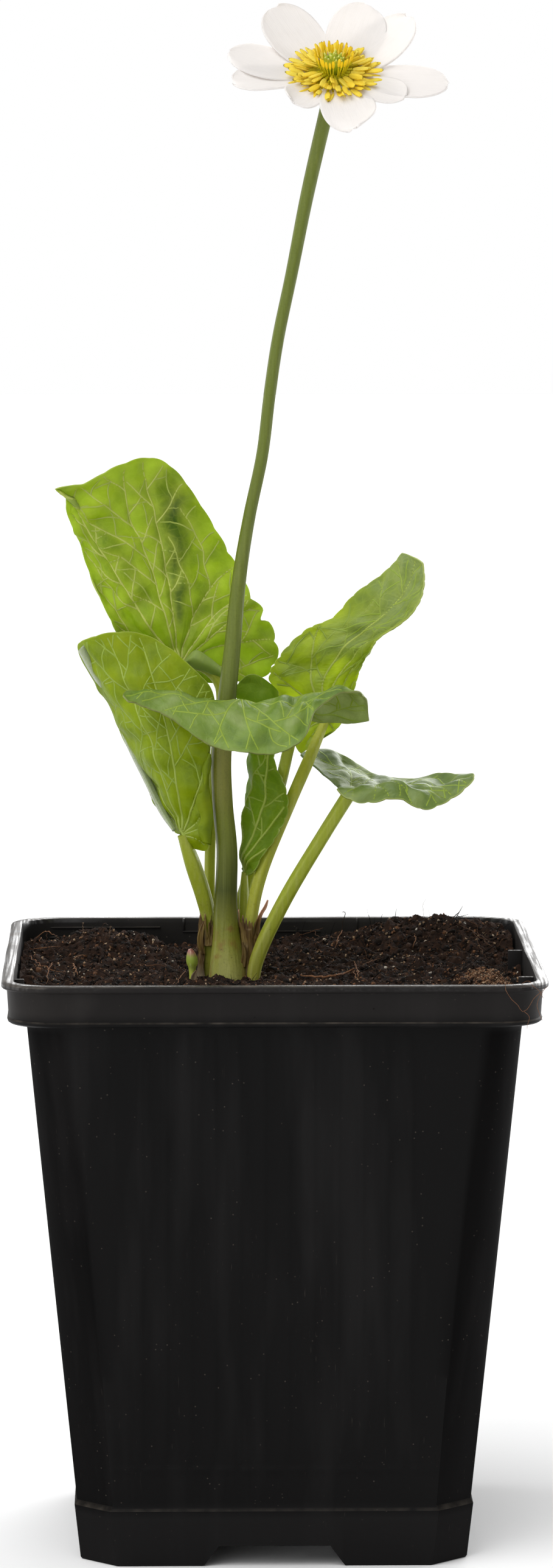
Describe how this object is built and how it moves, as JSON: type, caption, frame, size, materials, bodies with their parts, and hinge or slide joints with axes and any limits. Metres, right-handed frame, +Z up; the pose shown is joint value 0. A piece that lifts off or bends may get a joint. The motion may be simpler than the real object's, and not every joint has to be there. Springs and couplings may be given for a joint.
{
  "type": "potted marsh marigold",
  "caption": "Marsh marigold with an open white flower on a tall stalk and round crenate leaves, standing in peat in a square black plastic nursery pot.",
  "frame": {"origin": "middle of the pot's foot, on the surface it stands on", "axes": "+Z up, the flower faces -Y, +X to the right as seen from the front"},
  "size_m": [0.09, 0.09, 0.2588],
  "materials": {
    "pot_plastic": "thin black moulded polypropylene, satin, with faint flow streaks and dust",
    "peat": null,
    "stem": null,
    "petal": "thin matt off-white petals with faint lengthwise veins",
    "stamen": "yellow stamens with orange-edged anthers and greenish roots",
    "carpel": "yellow-green pods with pale tips",
    "dry_husk": "dry brown papery leaf bases, torn along the top",
    "shoot": "pale green young shoot with a brown tip",
    "leaf": "satin living leaf, yellow-green to grey-green, with a pale net of veins"
  },
  "bodies": {
    "root": {"pot": "pot_plastic", "soil": "peat", "flower_stem": "stem", "petals": "petal", "stamens": "stamen", "carpels": "carpel", "dry_sheath": "dry_husk", "bud": "shoot", "leaf_back_left": "leaf", "leaf_left": "leaf", "leaf_front": "leaf", "leaf_right_tall": "leaf", "leaf_right_low": "leaf", "leaf_centre": "leaf"}
  },
  "joints": []
}
